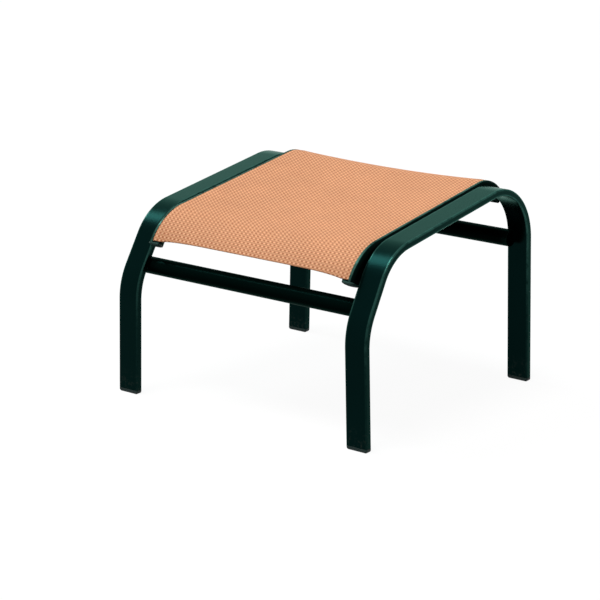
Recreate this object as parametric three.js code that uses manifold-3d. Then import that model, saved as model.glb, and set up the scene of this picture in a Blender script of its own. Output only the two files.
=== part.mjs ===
// Outdoor ottoman footstool: two bent flat-tube side frames, two round crossbars welded
// across the legs, and a mesh sling held between two extruded rails that are bolted to the
// inner faces of the frames.
// Millimetres, +X right, +Y back, +Z up. The origin is on the floor under the middle.

import * as THREE from 'three';
import { mergeVertices, toCreasedNormals } from 'three/addons/utils/BufferGeometryUtils.js';
import Module from 'manifold-3d';

const wasm = await Module();
wasm.setup();

// Clearance between two pieces that touch, overrun of every cut, and facets
const fitGap = 0.3;
const cutOverrun = 1;
const bendStepDegrees = 7.2;    // largest turn of one facet of a bend

// Side frame: one flat tube bent in a single plane, open at both feet
const floorWidth = 571.5;       // outer face to outer face at the floor
const leanDegrees = 1.5;        // each frame leans in toward the top
const tubeWidth = 44.5;         // across the front of a leg
const tubeThickness = 13;
const tubeWall = 1.5;
const tubeCornerRadius = 2;
const frontLegLength = 180;     // floor to the start of the knee
const kneeRadius = 120;
const kneeDegrees = 31.5;
const shinLength = 63;          // straight run above the knee
const frontBendRadius = 109;
const topLength = 273;          // straight run beside the sling
const topRiseDegrees = 8;       // the top climbs toward the back
const backBendRadius = 108;

// Glide: a rounded foot under each leg, with a ribbed plug that grips inside the tube
const footHeight = 7;
const footCornerAcross = 4.5;
const footCornerDeep = 2;
const footCornerDrop = 5;
const plugDepth = 24;
const plugRibCount = 3;
const plugRibDepth = 0.7;
const plugRibShare = 0.3;       // of the rib pitch

// Crossbars: round tube across the inner sides of the legs
const barRadius = 16;
const barWall = 1.6;
const barOverlap = 18;          // how far a bar runs behind a leg
const frontBarUp = 12.4;        // from the knee, along the shin, to the line of contact
const rearBarHeight = 277.5;    // floor to the line of contact
const barSides = 28;

// Weld beads in the wedges above and below each line of contact
const weldRoot = 4.2;           // line of contact to the inner toe
const weldReach = 10.5;         // line of contact to the outer toe
const weldCrown = 0.9;          // how proud a bead stands between its outer toes
const weldEndInset = 1.5;

// Bolts and rivet nuts along the straight top of each frame
const boltShares = { front: 0.09, middle: 0.5, rear: 0.91 };   // of the straight top
const boltRadius = 2;
const boltLength = 12;
const boltHeadRadius = 3.8;
const boltHeadHeight = 2.4;
const boltEdgeShares = [0.93, 0.6];                            // of the head's radius
const boltSocketRadius = 1.45;
const boltSocketDepth = 1.4;
const boltSides = 12;
const keyClearance = 1.3;       // the hex key passes under the groove
const nutBodyRadius = 2.8;
const nutBodyLength = 9;
const nutFlangeRadius = 3.6;
const nutFlangeThickness = 0.9;

// Sling rail: one extrusion bent to its own arcs, with a web, a groove and a curled skirt
const railTopHeight = 1.1;      // rail top over frame top
const railDepth = 25;
const railWeb = 2.4;
const railPlate = 1.8;
const railEdgeRadius = 4.5;     // outer corner of the plate and the web
const railCornerRadius = 2.1;   // and the corner inside
const railFootRadius = 0.6;
const railLeadFront = 20.1;     // how far the rail's front bend starts ahead of the frame's
const railLeadRear = 30.7;
const railFrontRadius = 109;
const railFrontDegrees = 53.3;
const railRearRadius = 72.5;
const railRearDegrees = 65.5;
const grooveInset = 12.7;       // frame's inner face to groove centre
const grooveRadius = 2.6;
const grooveWall = 1.2;
const grooveLip = 1.5;          // metal over the groove
const slotWidth = 2;
const slotEdgeRadius = 0.35;
const flangeDrop = 1.3;         // rail top to flange top
const flangeThickness = 1.6;
const railReach = 25.8;         // frame's inner face to the nose
const noseRadius = 1.6;
const skirtThickness = 1.8;
const skirtTuck = 6.6;          // how far the skirt's foot curls back under
// Skirt points as shares of its drop and of its tuck
const skirtShares = [[0.15, 0], [0.42, 0.1], [0.68, 0.38], [0.9, 0.78], [1, 1]];
const skirtBevelShare = 0.03;   // of the drop

// Rail cap: a moulded plug with a domed head closes each end of a rail
const capRimLength = 1.6;
const capDomeLength = 4.6;
const capDomeDegrees = 74;      // how far round the dome turns before its flat
const capDomeSteps = 3;
const capPlugDepth = 12;
const capPlugTaper = 0.8;
const capPlugRaise = 4;         // rail's lower edge to the plug's underside

// Sling: a mesh sheet whose side pockets go down through the slots and round the splines
const slingThickness = 0.9;
const pocketSkin = 0.6;
const hemShort = 2.6;           // rail end to hem, along the rail
const hemBow = 5.8;             // each hem curves in from its corners
const hemBowPower = 6;
const slingSag = 8;
const sagFadePower = 6;         // toward the hems
const slingColumns = 6;
const splineRadius = 1.4;
const splineShort = 3;          // rail end to spline end
const splineSides = 8;

const radians = THREE.MathUtils.degToRad;
const quarterTurn = Math.PI / 2;
const fullTurn = Math.PI * 2;
const lean = Math.tan(radians(leanDegrees));
const topHeading = quarterTurn - radians(topRiseDegrees);

// Insets are measured in from a frame's outer face
const webInset = tubeWidth + nutFlangeThickness + 2 * fitGap;
const boltSeatInset = webInset + railWeb + fitGap;
const grooveCentreInset = tubeWidth + grooveInset;
const webInner = webInset + railWeb;
const noseInset = tubeWidth + railReach;
const noseDrop = flangeDrop + noseRadius;
const grooveDepth = grooveLip + grooveRadius;
const boltDrop = grooveDepth + grooveRadius + grooveWall + keyClearance;

// A line of straight runs and of bends that turn toward the back, in the plane of a frame.
// A heading is the angle from straight up toward the back.
class BentLine {
  constructor(heading, runs) {
    this.shift = { y: 0, z: 0 };
    this.pieces = [];
    let from = { y: 0, z: 0, heading };
    let start = 0;
    for (const { length, radius, turn } of runs) {
      const piece = { start, from, radius, turn, length: turn ? radius * turn : length };
      this.pieces.push(piece);
      from = this.along(piece, piece.length);
      start += piece.length;
    }
    this.length = start;
  }

  along({ from, radius, turn }, distance) {
    const { y, z, heading } = from;
    if (!turn) {
      return { y: y + distance * Math.sin(heading), z: z + distance * Math.cos(heading), heading };
    }
    const after = heading + distance / radius;
    return {
      y: y + radius * (Math.cos(heading) - Math.cos(after)),
      z: z + radius * (Math.sin(after) - Math.sin(heading)),
      heading: after,
    };
  }

  // The point at a distance along the line, moved out on the convex side
  at(distance, out = 0) {
    const piece = this.pieces.findLast(({ start }) => start <= distance) ?? this.pieces[0];
    const { y, z, heading } = this.along(piece, distance - piece.start);
    return {
      y: y + this.shift.y - out * Math.cos(heading),
      z: z + this.shift.z + out * Math.sin(heading),
      heading,
    };
  }

  // Shifts the line so that its point at a distance lands on the target
  pin(distance, target) {
    const { y, z } = this.at(distance);
    this.shift.y += target.y - y;
    this.shift.z += target.z - z;
    return this;
  }

  // The distances at which a swept skin needs a ring
  marks(from = 0, to = this.length) {
    const inside = this.pieces.flatMap(({ start, length, turn }) => {
      const steps = turn ? Math.ceil(turn / radians(bendStepDegrees)) : 1;
      return Array.from({ length: steps }, (_, i) => start + length * (i / steps));
    });
    return [from, ...inside.filter((mark) => mark > from && mark < to), to];
  }
}

// The frame's outer line, from the front foot to the rear foot
function layFrame() {
  const knee = radians(kneeDegrees);
  const runs = [
    { length: frontLegLength },
    { radius: kneeRadius, turn: knee },
    { length: shinLength },
    { radius: frontBendRadius, turn: topHeading - knee },
    { length: topLength },
    { radius: backBendRadius, turn: Math.PI - topHeading },
  ];
  const upper = new BentLine(0, runs);
  const { y, z } = upper.at(upper.length);
  return new BentLine(0, [...runs, { length: z }]).pin(0, { y: -y / 2, z: 0 });
}

const frame = layFrame();
const [, , shin, , frameTop] = frame.pieces;

// The rail's top line, parallel to the frame's straight top and past both ends of it
function layRail() {
  const frontTurn = radians(railFrontDegrees);
  const line = new BentLine(topHeading - frontTurn, [
    { radius: railFrontRadius, turn: frontTurn },
    { length: railLeadFront + topLength + railLeadRear },
    { radius: railRearRadius, turn: radians(railRearDegrees) },
  ]);
  return line.pin(line.pieces[1].start + railLeadFront, frame.at(frameTop.start, railTopHeight));
}

const rail = layRail();

function boltPlace(share) {
  return rail.at(rail.pieces[1].start + railLeadFront + topLength * share, -boltDrop);
}

const boltPlaces = Object.entries(boltShares).map(([name, share]) => [name, boltPlace(share)]);

// Half the distance between two mirrored points of the leaning sides
function halfSpan(inset, z) {
  return floorWidth / 2 - inset - z * lean;
}

function arc(x, y, radius, from, to, steps) {
  return Array.from({ length: steps + 1 }, (_, i) => {
    const angle = from + (to - from) * (i / steps);
    return [x + radius * Math.cos(angle), y + radius * Math.sin(angle)];
  });
}

function circle(x, y, radius, sides) {
  return arc(x, y, radius, 0, fullTurn, sides).slice(1);
}

// A rectangle with rounded corners, as [x, y] points that run anticlockwise
function roundedRectangle(left, right, bottom, top, radius, steps) {
  const corners = [
    [right - radius, bottom + radius, -1],
    [right - radius, top - radius, 0],
    [left + radius, top - radius, 1],
    [left + radius, bottom + radius, 2],
  ];
  return corners.flatMap(([x, y, turn]) => (
    arc(x, y, radius, turn * quarterTurn, (turn + 1) * quarterTurn, steps)));
}

// The triangles that close the end of a skin. Holes run the other way round to the outline.
function capTriangles(outline, holes) {
  const flat = (loop) => loop.map(([x, y]) => new THREE.Vector2(x, y));
  const faces = THREE.ShapeUtils.triangulateShape(flat(outline), holes.map(flat));
  const clockwise = THREE.ShapeUtils.isClockWise(flat(outline));
  return clockwise ? faces.map(([a, b, c]) => [a, c, b]) : faces;
}

// A closed skin over rings of points. A ring lists its outline, then its holes.
function loft(rings, outline, holes = []) {
  const perRing = rings[0].length;
  const lastRing = (rings.length - 1) * perRing;
  const index = [];
  for (let start = 0; start < lastRing; start += perRing) {
    let first = start;
    for (const { length } of [outline, ...holes]) {
      for (let k = 0; k < length; k += 1) {
        const a = first + k;
        const b = first + ((k + 1) % length);
        index.push(a, b, b + perRing, a, b + perRing, a + perRing);
      }
      first += length;
    }
  }
  for (const [a, b, c] of capTriangles(outline, holes)) {
    index.push(a, c, b, a + lastRing, b + lastRing, c + lastRing);
  }
  const geometry = new THREE.BufferGeometry();
  geometry.setAttribute('position', new THREE.Float32BufferAttribute(rings.flat(2), 3));
  geometry.setIndex(index);
  return facedOut(geometry);
}

function facedOut(geometry) {
  const { index, attributes } = geometry;
  const corner = (i) => new THREE.Vector3().fromBufferAttribute(attributes.position, index.getX(i));
  let volume = 0;
  for (let i = 0; i < index.count; i += 3) {
    volume += corner(i).dot(corner(i + 1).cross(corner(i + 2)));
  }
  if (volume < 0) index.array.reverse();
  return geometry;
}

// Carries a section of [inset, out] points along a bent line
function sweep(line, marks, outline, holes = []) {
  const section = [outline, ...holes].flat();
  const rings = marks.map((mark) => section.map(([inset, out]) => {
    const { y, z } = line.at(mark, out);
    return [-inset, y, z];
  }));
  return loft(rings, outline, holes);
}

// Carries an outline of [y, z] points straight across, between two places on X
function acrossBar(outline, holes, from, to) {
  const shape = new THREE.Shape(outline.map(([y, z]) => new THREE.Vector2(y, z)));
  shape.holes = holes.map((hole) => new THREE.Path(hole.map(([y, z]) => new THREE.Vector2(y, z))));
  const axes = [[0, 1, 0], [0, 0, 1], [1, 0, 0]].map((axis) => new THREE.Vector3(...axis));
  return new THREE.ExtrudeGeometry(shape, { depth: to - from, bevelEnabled: false })
    .applyMatrix4(new THREE.Matrix4().makeBasis(...axes))
    .translate(from, 0, 0);
}

// Turns a profile of [radius, inset] points about a bolt's axis
function turned(profile) {
  const points = profile.map(([radius, inset]) => new THREE.Vector2(radius, inset));
  return new THREE.LatheGeometry(points, boltSides).rotateZ(quarterTurn);
}

function toSolid(geometry) {
  const bare = geometry.clone().deleteAttribute('normal').deleteAttribute('uv');
  const { index, attributes } = mergeVertices(bare);
  return new wasm.Manifold(new wasm.Mesh({
    numProp: 3,
    vertProperties: attributes.position.array,
    triVerts: new Uint32Array(index.array),
  }));
}

function toGeometry(solid) {
  const { vertProperties, triVerts } = solid.getMesh();
  const geometry = new THREE.BufferGeometry();
  geometry.setAttribute('position', new THREE.BufferAttribute(vertProperties, 3));
  return geometry.setIndex(new THREE.BufferAttribute(triVerts, 1));
}

// Drills the bolt holes through one wall, which starts at an inset
function drilled(geometry, radius, wallInset, wall) {
  const drill = new THREE.CylinderGeometry(radius, radius, wall + 2 * cutOverrun, boltSides)
    .rotateZ(quarterTurn)
    .translate(-wallInset - wall / 2, 0, 0);
  let solid = toSolid(geometry);
  for (const [, { y, z }] of boltPlaces) {
    solid = solid.subtract(toSolid(drill).translate([0, y, z]));
  }
  return toGeometry(solid);
}

function sideFrame() {
  const outer = roundedRectangle(0, tubeWidth, -tubeThickness, 0, tubeCornerRadius, 3);
  const cavity = roundedRectangle(tubeWall, tubeWidth - tubeWall,
    tubeWall - tubeThickness, -tubeWall, tubeCornerRadius - tubeWall, 1).reverse();
  const footTop = footHeight + fitGap;
  const tube = sweep(frame, frame.marks(footTop, frame.length - footTop), outer, [cavity]);
  return drilled(tube, nutBodyRadius + fitGap, tubeWidth - tubeWall, tubeWall);
}

// A glide fills the tube's outline at the foot and its bore above that
function legGlide(legFront) {
  const ring = (across, deep, height) => {
    const radius = Math.max(tubeCornerRadius - deep, slotEdgeRadius);
    return roundedRectangle(across, tubeWidth - across,
      legFront + deep, legFront + tubeThickness - deep, radius, 2)
      .map(([inset, y]) => [-inset, y, height]);
  };
  const rings = [0, 1, 2, 3].map((step) => {
    const turn = (step / 3) * quarterTurn;
    const cut = 1 - Math.sin(turn);
    return ring(footCornerAcross * cut, footCornerDeep * cut, footCornerDrop * (1 - Math.cos(turn)));
  });
  rings.push(ring(0, 0, footHeight));
  const crest = tubeWall + fitGap;
  const valley = crest + plugRibDepth;
  const pitch = plugDepth / plugRibCount;
  for (let rib = 0; rib < plugRibCount; rib += 1) {
    const base = footHeight + pitch * rib;
    rings.push(ring(valley, valley, base));
    rings.push(ring(valley, valley, base + pitch * (1 - plugRibShare)));
    rings.push(ring(crest, crest, base + pitch * (1 - plugRibShare)));
  }
  rings.push(ring(valley, valley, footHeight + plugDepth));
  return loft(rings, rings[0]);
}

// Where a crossbar lies against a leg: the line of contact and the bar's centre
function barSeat(mark) {
  return { mark, centre: frame.at(mark, -tubeThickness - fitGap - barRadius) };
}

const seats = {
  front: barSeat(shin.start + frontBarUp),
  rear: barSeat(frame.length - rearBarHeight),
};

function crossbar({ centre }) {
  const reach = halfSpan(tubeWidth - barOverlap, centre.z);
  const skin = circle(centre.y, centre.z, barRadius, barSides);
  const bore = circle(centre.y, centre.z, barRadius - barWall, barSides);
  return acrossBar(skin, [bore], -reach, reach);
}

// A bead follows the leg's inner side, crosses to the bar and follows the bar back.
// The way is 1 on the side of the rising line and -1 on the other.
function weldBead({ mark, centre }, way) {
  const skin = barRadius + fitGap;
  const { heading } = centre;
  const reaches = [0, 1, 2].map((step) => weldRoot + (weldReach - weldRoot) * (step / 2));
  const legSide = reaches.map((reach) => {
    const { y, z } = frame.at(mark + way * reach, -tubeThickness - fitGap);
    return [y, z];
  });
  const barSide = reaches.map((reach) => {
    const turn = way * Math.asin(reach / skin);
    const out = skin * Math.cos(turn);
    const along = skin * Math.sin(turn);
    return [
      centre.y - out * Math.cos(heading) + along * Math.sin(heading),
      centre.z + out * Math.sin(heading) + along * Math.cos(heading),
    ];
  });
  const [legToe, barToe] = [legSide[2], barSide[2]];
  const crown = [
    (legToe[0] + barToe[0]) / 2 + way * weldCrown * Math.sin(heading),
    (legToe[1] + barToe[1]) / 2 + way * weldCrown * Math.cos(heading),
  ];
  return acrossBar([...legSide, crown, ...barSide.reverse()], [],
    weldEndInset - tubeWidth, barOverlap - weldEndInset - tubeWidth);
}

// Stretches of the rail's section in [inset, out] points, with its top at zero
function railEdge() {
  return arc(webInset + railEdgeRadius, -railEdgeRadius, railEdgeRadius, Math.PI, quarterTurn, 3);
}

function railNose() {
  return arc(noseInset - noseRadius, -noseDrop, noseRadius, quarterTurn, 0, 2);
}

function railSkirt(inset, bevel) {
  return skirtShares.map(([down, tuck]) => [
    inset - skirtTuck * tuck, -noseDrop - (railDepth - noseDrop) * (down - bevel * tuck)]);
}

function railSection() {
  const slotAngle = Math.asin(slotWidth / 2 / grooveRadius);
  const boss = grooveRadius + grooveWall;
  const flangeUnder = flangeDrop + flangeThickness;
  return [
    ...railEdge(),
    [grooveCentreInset - slotWidth / 2 - slotEdgeRadius, 0],
    [grooveCentreInset - slotWidth / 2, -slotEdgeRadius],
    ...arc(grooveCentreInset, -grooveDepth, grooveRadius,
      quarterTurn + slotAngle, fullTurn + quarterTurn - slotAngle, 8),
    [grooveCentreInset + slotWidth / 2, -flangeDrop - slotEdgeRadius],
    [grooveCentreInset + slotWidth / 2 + slotEdgeRadius, -flangeDrop],
    ...railNose(),
    ...railSkirt(noseInset, 0),
    ...railSkirt(noseInset - skirtThickness, skirtBevelShare).reverse(),
    [noseInset - skirtThickness, -flangeUnder],
    ...arc(grooveCentreInset, -grooveDepth, boss,
      Math.asin((grooveDepth - flangeUnder) / boss),
      -Math.PI - Math.asin((grooveDepth - railPlate) / boss), 7),
    ...arc(webInner + railCornerRadius, -railPlate - railCornerRadius, railCornerRadius,
      quarterTurn, Math.PI, 2),
    [webInner, railFootRadius - railDepth],
    [webInner - railFootRadius, -railDepth],
    [webInset + railFootRadius, -railDepth],
    [webInset, railFootRadius - railDepth],
  ];
}

function slingRail() {
  const body = sweep(rail, rail.marks(), railSection());
  return drilled(body, boltRadius + fitGap, webInset, railWeb);
}

// The head of a cap has the rail's outline and shrinks toward the middle of it. The plug
// passes under the groove, between the web and the skirt.
function railCap(end) {
  const ring = (past, points) => points.map(([inset, out]) => {
    const { y, z } = rail.at(end === 'front' ? -past : rail.length + past, out);
    return [-inset, y, z];
  });
  const outline = [...railEdge(), ...railNose(), ...railSkirt(noseInset, 0), [webInset, -railDepth]];
  const [midInset, midOut] = [(webInset + noseInset) / 2, -railDepth / 2];
  const domed = (share) => outline.map(([inset, out]) => [
    midInset + (inset - midInset) * share, midOut + (out - midOut) * share]);
  const head = [ring(fitGap, outline)];
  for (let step = 0; step <= capDomeSteps; step += 1) {
    const turn = radians(capDomeDegrees) * (step / capDomeSteps);
    const past = fitGap + capRimLength + capDomeLength * Math.sin(turn);
    head.push(ring(past, domed(Math.cos(turn))));
  }
  const box = (taper) => {
    const left = webInner + fitGap + taper;
    const right = noseInset - skirtThickness - skirtTuck - fitGap - taper;
    const top = -grooveDepth - grooveRadius - grooveWall - fitGap - taper;
    const bottom = capPlugRaise - railDepth + taper;
    return [[left, bottom], [right, bottom], [right, top], [left, top]];
  };
  const plug = [
    ring(-capPlugDepth, box(capPlugTaper)),
    ring(capPlugTaper - capPlugDepth, box(0)),
    ring(capRimLength, box(0)),
  ];
  return toGeometry(toSolid(loft(head, outline)).add(toSolid(loft(plug, box(0)))));
}

function slingSpline() {
  const rod = circle(grooveCentreInset, -grooveDepth, splineRadius, splineSides);
  return sweep(rail, rail.marks(splineShort, rail.length - splineShort), rod);
}

// One edge of the sling's section, from the top round the pocket to the flange's nose, in
// points [share of the half span, inset, out]
function slingEdge(side) {
  const top = slingThickness + fitGap - flangeDrop;
  const under = top - slingThickness;
  const pocket = grooveRadius - fitGap;
  const neck = slotWidth / 2 - fitGap;
  const neckAngle = Math.asin(neck / pocket);
  return [
    [grooveCentreInset - neck + slotEdgeRadius, top],
    [grooveCentreInset - neck, top - slotEdgeRadius],
    ...arc(grooveCentreInset, -grooveDepth, pocket,
      quarterTurn + neckAngle, fullTurn + quarterTurn - neckAngle, 7),
    [grooveCentreInset + neck, under],
    [noseInset, under],
  ].map(([inset, out]) => [side, inset, out]);
}

// The sheet's columns lie between the noses and share the noses' inset
function sling() {
  const top = slingThickness + fitGap - flangeDrop;
  const columns = Array.from({ length: slingColumns - 1 }, (_, i) => 1 - 2 * ((i + 1) / slingColumns));
  const outline = [
    ...slingEdge(1),
    ...columns.map((share) => [share, noseInset, top - slingThickness]),
    ...slingEdge(-1).reverse(),
    ...[-1, ...columns.reverse(), 1].map((share) => [share, noseInset, top]),
  ];
  const bores = [1, -1].map((side) => (
    circle(grooveCentreInset, -grooveDepth, grooveRadius - fitGap - pocketSkin, splineSides)
      .map(([inset, out]) => [side, inset, out])));
  bores[0].reverse();
  const half = rail.length / 2 - hemShort;
  const hemMarks = rail.marks(hemShort, rail.length - hemShort);
  const rings = hemMarks.map((mark) => [outline, ...bores].flat().map(([share, inset, out]) => {
    const fromMiddle = (mark - rail.length / 2) / half;
    const sag = slingSag * (1 - share ** 2) * (1 - fromMiddle ** sagFadePower);
    const bow = hemBow * (1 - share ** hemBowPower);
    const { y, z } = rail.at(mark - fromMiddle * bow, out - sag);
    return [share * halfSpan(inset, z), y, z];
  }));
  const flat = (loop) => loop.map(([share, inset, out]) => [share * halfSpan(inset, 0), out]);
  return loft(rings, flat(outline), bores.map(flat));
}

// Button head bolt, from the end of its shank to the socket in its head
function railBolt() {
  const seat = boltSeatInset;
  const crest = seat + boltHeadHeight;
  const [edgeShare, crestShare] = boltEdgeShares;
  return turned([
    [0, seat - boltLength],
    [boltRadius, seat - boltLength],
    [boltRadius, seat],
    [boltHeadRadius, seat],
    [boltHeadRadius * edgeShare, seat + boltHeadHeight / 2],
    [boltHeadRadius * crestShare, crest],
    [boltSocketRadius, crest],
    [boltSocketRadius, crest - boltSocketDepth],
    [0, crest - boltSocketDepth],
  ]);
}

// Rivet nut: its flange lies on the frame's inner face and its body is inside the tube
function rivetNut() {
  const face = tubeWidth + fitGap;
  const bore = boltRadius + fitGap;
  return turned([
    [bore, face - nutBodyLength],
    [nutBodyRadius, face - nutBodyLength],
    [nutBodyRadius, face],
    [nutFlangeRadius, face],
    [nutFlangeRadius, face + nutFlangeThickness],
    [bore, face + nutFlangeThickness],
    [bore, face - nutBodyLength],
  ]);
}

const finishes = {
  paint: { color: 0x16382f, roughness: 0.38, metalness: 0.35 },
  weld: { color: 0x16382f, roughness: 0.5, metalness: 0.35 },
  foot: { color: 0x0b1210, roughness: 0.6, metalness: 0 },
  mesh: { color: 0xe4a37c, roughness: 0.85, metalness: 0 },
  cap: { color: 0x1b3a33, roughness: 0.5, metalness: 0 },
  spline: { color: 0xd9d6cc, roughness: 0.5, metalness: 0 },
  bolt: { color: 0x9a9da0, roughness: 0.35, metalness: 0.9 },
  nut: { color: 0xa9a58f, roughness: 0.4, metalness: 0.85 },
};

function piece(name, geometry, finish) {
  const creased = toCreasedNormals(geometry.clone().deleteAttribute('normal'), radians(30));
  const mesh = new THREE.Mesh(creased, new THREE.MeshStandardMaterial(finishes[finish]));
  mesh.name = name;
  return mesh;
}

// One side of the footstool, upright in its own plane with its outer face at zero, then
// leaned in by a shear so that the feet stay flat. The left side is a mirror image.
function sideAssembly(name, side) {
  const group = new THREE.Group();
  const rearLeg = frame.at(frame.length).y - tubeThickness;
  group.add(
    piece(`side_frame_${name}`, sideFrame(), 'paint'),
    piece(`front_glide_${name}`, legGlide(frame.at(0).y), 'foot'),
    piece(`rear_glide_${name}`, legGlide(rearLeg), 'foot'),
    piece(`sling_rail_${name}`, slingRail(), 'paint'),
    piece(`front_rail_cap_${name}`, railCap('front'), 'cap'),
    piece(`rear_rail_cap_${name}`, railCap('rear'), 'cap'),
    piece(`sling_spline_${name}`, slingSpline(), 'spline'),
  );
  for (const [end, seat] of Object.entries(seats)) {
    group.add(
      piece(`${end}_weld_above_${name}`, weldBead(seat, end === 'front' ? 1 : -1), 'weld'),
      piece(`${end}_weld_below_${name}`, weldBead(seat, end === 'front' ? -1 : 1), 'weld'),
    );
  }
  for (const [end, { y, z }] of boltPlaces) {
    const bolt = piece(`rail_bolt_${end}_${name}`, railBolt(), 'bolt');
    const nut = piece(`rivet_nut_${end}_${name}`, rivetNut(), 'nut');
    bolt.position.set(0, y, z);
    nut.position.set(0, y, z);
    group.add(bolt, nut);
  }
  group.matrixAutoUpdate = false;
  group.matrix.set(
    side, 0, -side * lean, side * (floorWidth / 2),
    0, 1, 0, 0,
    0, 0, 1, 0,
    0, 0, 0, 1,
  );
  return group;
}

const footstool = new THREE.Group();
footstool.add(
  sideAssembly('right', 1),
  sideAssembly('left', -1),
  piece('front_crossbar', crossbar(seats.front), 'paint'),
  piece('rear_crossbar', crossbar(seats.rear), 'paint'),
  piece('sling', sling(), 'mesh'),
);

export default footstool;
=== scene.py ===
"""Outdoor ottoman footstool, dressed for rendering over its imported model.

Metres, +X right, +Y back, +Z up, with the origin on the floor under the middle. A side of
the footstool is worked out in its own plane: an inset is measured in from the outer face
of the side frame, and a frame leans in by a shear, so that its feet stay flat.
"""

import logging
from dataclasses import dataclass
from enum import Enum
from math import pi, radians, tan
from typing import Any, Iterable, Sequence

import bpy
import numpy as np
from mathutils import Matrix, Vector

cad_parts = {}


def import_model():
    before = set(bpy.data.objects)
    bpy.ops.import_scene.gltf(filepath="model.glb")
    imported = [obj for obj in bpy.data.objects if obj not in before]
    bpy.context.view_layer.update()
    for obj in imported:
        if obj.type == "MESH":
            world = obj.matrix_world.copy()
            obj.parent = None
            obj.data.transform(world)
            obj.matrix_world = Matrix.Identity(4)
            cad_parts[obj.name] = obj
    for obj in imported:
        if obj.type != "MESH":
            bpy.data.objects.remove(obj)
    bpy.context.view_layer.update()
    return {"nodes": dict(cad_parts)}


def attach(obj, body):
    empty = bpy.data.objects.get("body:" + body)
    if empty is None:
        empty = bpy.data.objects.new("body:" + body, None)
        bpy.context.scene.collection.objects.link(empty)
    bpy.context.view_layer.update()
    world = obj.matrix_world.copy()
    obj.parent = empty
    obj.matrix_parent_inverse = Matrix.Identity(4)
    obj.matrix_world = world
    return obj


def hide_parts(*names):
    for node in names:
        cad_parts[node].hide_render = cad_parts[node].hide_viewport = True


LOG = logging.getLogger("footstool")
BODY = "root"
FIT_GAP = 0.0003             # between solids that touch
# The pale edge colour that corners carry stands for abrasion and also paints a highlight.
PALE_EDGE_FLAT_SHARE = 0.9        # of a corner's radius: how far its pale edge mark runs onto a flat
CLOSEST_RING_SHARE = 1 / 9   # of a step: no ring is nearer than this to a skin's end
SMOOTH_TURN = 38.0           # degrees that an edge may turn and still look smooth

Number = float | int
Array = np.ndarray
Colour = tuple[float, float, float]
Place = tuple[float, float, float]


class Side(Enum):
    """The two mirrored sides of the footstool."""

    RIGHT = 1
    LEFT = -1

    @property
    def label(self) -> str:
        """The word used in names."""
        return self.name.lower()


class End(Enum):
    """The low front end and the high rear end."""

    FRONT = "front"
    REAR = "rear"


class Slot(Enum):
    """The record's material slots, one named in each new piece's look."""

    PAINT = "green_paint"
    WELD = "painted_weld"
    FOOT = "foot_plastic"
    CAP = "cap_plastic"
    CLOTH = "sling_mesh"
    BOLT = "bolt_steel"


# Paths and places


@dataclass(frozen=True)
class Run:
    """A stretch of a path: straight where its turn is zero, else a circular bend."""

    length: float
    turn: float = 0.0

    @classmethod
    def bend(cls, radius: float, degrees: float) -> "Run":
        """A bend of that radius and angle."""
        return cls(radius * radians(degrees), radians(degrees))


class BentPath:
    """Straight runs and bends in the plane of a side. A heading is the angle from straight
    up toward the back, and every bend raises it."""

    def __init__(self, heading: float, runs: Sequence[Run]) -> None:
        """Lays the runs end to end from the origin.

        Args:
            heading: the heading at the start.
            runs: the stretches, from the front.
        """
        lengths = np.array([run.length for run in runs])
        turns = np.array([run.turn for run in runs])
        self.starts = np.concatenate([[0.0], np.cumsum(lengths)[:-1]])
        self.length = float(lengths.sum())
        self.turns = turns
        self.curl = turns / lengths
        self.headings = heading + np.concatenate([[0.0], np.cumsum(turns)[:-1]])
        chords = lengths * np.sinc(turns / 2 / pi)
        middles = self.headings + turns / 2
        self.y = np.concatenate([[0.0], np.cumsum(chords * np.sin(middles))[:-1]])
        self.z = np.concatenate([[0.0], np.cumsum(chords * np.cos(middles))[:-1]])

    def at(self, distance: Array | float, out: Array | float = 0.0) -> tuple[Array, Array, Array]:
        """Points on the path, or beside it.

        The chord of a stretch d long that turns by 2a is d * sin(a) / a, at the heading
        of its start plus a. A straight stretch is the same with a at zero.

        Args:
            distance: distances along the path.
            out: how far each point lies out on the convex side.

        Returns:
            y, z and the heading of each point.
        """
        distance = np.asarray(distance, float)
        run = np.clip(np.searchsorted(self.starts, distance, "right") - 1, 0, len(self.starts) - 1)
        along = distance - self.starts[run]
        half = self.curl[run] * along / 2
        chord = along * np.sinc(half / pi)
        heading = self.headings[run] + 2 * half
        y = self.y[run] + chord * np.sin(self.headings[run] + half) - out * np.cos(heading)
        z = self.z[run] + chord * np.cos(self.headings[run] + half) + out * np.sin(heading)
        return y, z, heading

    def pin(self, distance: float, y: float, z: float) -> "BentPath":
        """Shifts the path so that one of its points is where it should be.

        Args:
            distance: the point's distance along the path.
            y: where the point goes.
            z: its height there.

        Returns:
            The path.
        """
        now_y, now_z, _ = self.at(distance)
        self.y = self.y + y - now_y
        self.z = self.z + z - now_z
        return self

    def marks(self, turn: float, step: float, first: float = 0.0,
              last: float | None = None) -> Array:
        """Distances for the rings of a swept skin.

        Args:
            turn: the largest turn between two rings, in degrees.
            step: the largest distance between two rings.
            first: where the skin starts.
            last: where it ends, or the end of the path.

        Returns:
            The distances, in order.
        """
        last = self.length if last is None else last
        ends = np.append(self.starts[1:], self.length)
        counts = np.ceil(np.maximum(self.turns / radians(turn), (ends - self.starts) / step))
        inside = np.concatenate([
            np.linspace(a, b, int(n), endpoint=False)
            for a, b, n in zip(self.starts, ends, counts)
        ])
        close = step * CLOSEST_RING_SHARE
        inside = inside[(inside > first + close) & (inside < last - close)]
        return np.concatenate([[first], inside, [last]])


def stacked(*parts: Array | float) -> Array:
    """Points from their coordinates, which are spread over each other's shapes."""
    return np.stack(np.broadcast_arrays(*parts), axis=-1)


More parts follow.
